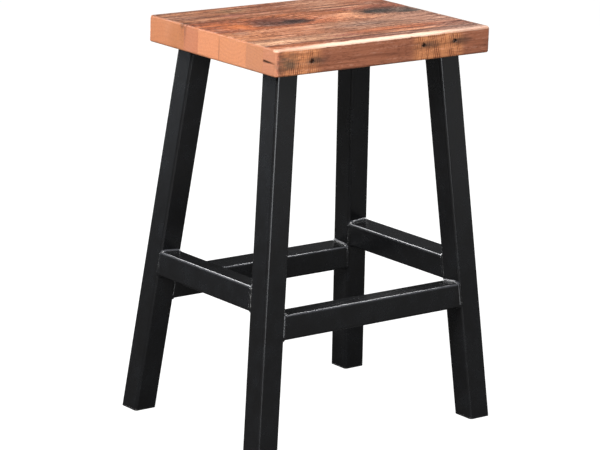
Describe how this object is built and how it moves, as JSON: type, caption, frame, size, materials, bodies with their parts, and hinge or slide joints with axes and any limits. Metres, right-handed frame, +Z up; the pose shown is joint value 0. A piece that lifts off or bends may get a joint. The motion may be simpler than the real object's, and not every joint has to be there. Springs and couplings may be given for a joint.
{
  "type": "counter-height stool with footrest rails",
  "caption": "Backless counter-height stool: slab seat of glued reclaimed boards on splayed square steel tube legs with welded footrest rails.",
  "frame": {"origin": "on the floor, under the middle of the seat", "axes": "+Z up from the floor to the seat; +X along the seat's long side, to the right as the front is faced; +Y across the seat, from front to back"},
  "size_m": [0.4508, 0.345, 0.6096],
  "materials": {
    "reclaimed_wood": "sanded and clear-coated reclaimed hardwood, saw marks, nail holes and iron stains left in",
    "black_powder_coat": "satin black powder coat",
    "coated_weld": "rippled weld bead under the same black coat, glossier than the tube",
    "zinc_plated_steel": "bright zinc plate",
    "black_nylon": "moulded black nylon"
  },
  "bodies": {
    "root": {"seat_board_1": "reclaimed_wood", "seat_board_2": "reclaimed_wood", "seat_board_3": "reclaimed_wood", "seat_board_4": "reclaimed_wood", "seat_board_5": "reclaimed_wood", "seat_board_6": "reclaimed_wood", "leg_front_left": "black_powder_coat", "leg_front_right": "black_powder_coat", "leg_back_left": "black_powder_coat", "leg_back_right": "black_powder_coat", "rail_front": "black_powder_coat", "rail_back": "black_powder_coat", "rail_left": "black_powder_coat", "rail_right": "black_powder_coat", "weld_rail_front": "coated_weld", "weld_rail_back": "coated_weld", "weld_rail_left": "coated_weld", "weld_rail_right": "coated_weld", "seat_bar_front": "black_powder_coat", "seat_bar_back": "black_powder_coat", "seat_bar_left": "black_powder_coat", "seat_bar_right": "black_powder_coat", "weld_seat_bars": "coated_weld", "seat_screws": "zinc_plated_steel", "screw_washers": "zinc_plated_steel", "foot_glide_front_left": "black_nylon", "foot_glide_front_right": "black_nylon", "foot_glide_back_left": "black_nylon", "foot_glide_back_right": "black_nylon"}
  },
  "joints": []
}
